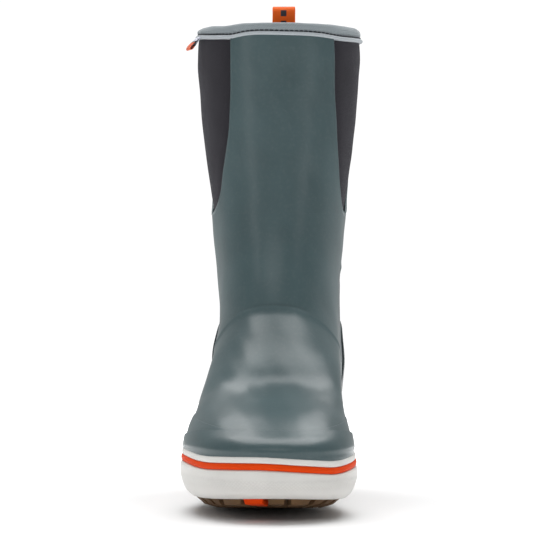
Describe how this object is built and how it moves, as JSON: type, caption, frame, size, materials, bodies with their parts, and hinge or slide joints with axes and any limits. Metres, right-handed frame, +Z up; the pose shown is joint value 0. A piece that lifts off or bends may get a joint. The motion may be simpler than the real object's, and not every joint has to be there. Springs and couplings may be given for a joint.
{
  "type": "deck boot",
  "caption": "Mid-calf rubber deck boot for the right foot with neoprene side panels, knit collar, webbing pull loop, pale rubber sidewall with a stripe, and a gum tread.",
  "frame": {"origin": "middle of the boot's bounding box in plan, on the ground under the tread", "axes": "+Z up the leg, -Y towards the toe, +X towards the inner (big toe) side of the right foot"},
  "size_m": [0.1232, 0.302, 0.3517],
  "materials": {
    "shell_rubber": "satin teal-grey moulded rubber",
    "counter_rubber": "satin dark slate rubber",
    "neoprene": "charcoal neoprene foam faced with fine knit",
    "lining_cloth": "dark brushed knit",
    "stiffener_sheet": "thermoplastic stiffener sheet",
    "binding_knit": "grey ribbed knit tape",
    "piping_tape": "light grey woven tape",
    "webbing": "orange woven webbing",
    "label_ribbon": "woven ribbon, pale with an orange end",
    "white_rubber": "matte off-white rubber",
    "orange_rubber": "satin orange rubber",
    "gum_rubber": "matte gum-brown rubber",
    "midsole_foam": "closed-cell foam",
    "footbed_foam": "foam insole faced with dark cloth",
    "board": "fibre board",
    "shank_steel": "rolled steel strip"
  },
  "bodies": {
    "boot": {"rubber_shell": "shell_rubber", "foot_rand": "shell_rubber", "vamp_overlay": "shell_rubber", "toe_bumper": "shell_rubber", "back_stay": "shell_rubber", "heel_counter": "counter_rubber", "kick_off_ridge": "counter_rubber", "neoprene_bootie": "neoprene", "lining_sock": "lining_cloth", "toe_puff": "stiffener_sheet", "heel_stiffener": "stiffener_sheet", "collar_binding": "binding_knit", "collar_piping": "piping_tape", "pull_loop_tail": "webbing", "sidewall": "white_rubber", "upper_foxing": "white_rubber", "orange_stripe": "orange_rubber", "toe_tread_insert": "orange_rubber", "heel_tread_insert": "orange_rubber", "midsole": "midsole_foam", "footbed": "footbed_foam", "lasting_board": "board", "shank": "shank_steel", "outsole": "gum_rubber"},
    "loop": {"pull_loop": "webbing"},
    "label": {"side_label": "label_ribbon"}
  },
  "joints": [
    {"name": "loop_hinge", "type": "hinge", "parent": "boot", "child": "loop", "pos_m": [0.00237, 0.13944, 0.3297], "axis": [1, 0, 0], "range_deg": [-80, 60], "stiffness_Nm_per_rad": 0.01},
    {"name": "label_hinge", "type": "hinge", "parent": "boot", "child": "label", "pos_m": [-0.05344, 0.04116, 0.32061], "axis": [-0.3382, 0.9411, 0], "range_deg": [-33, 90], "stiffness_Nm_per_rad": 0.002}
  ]
}
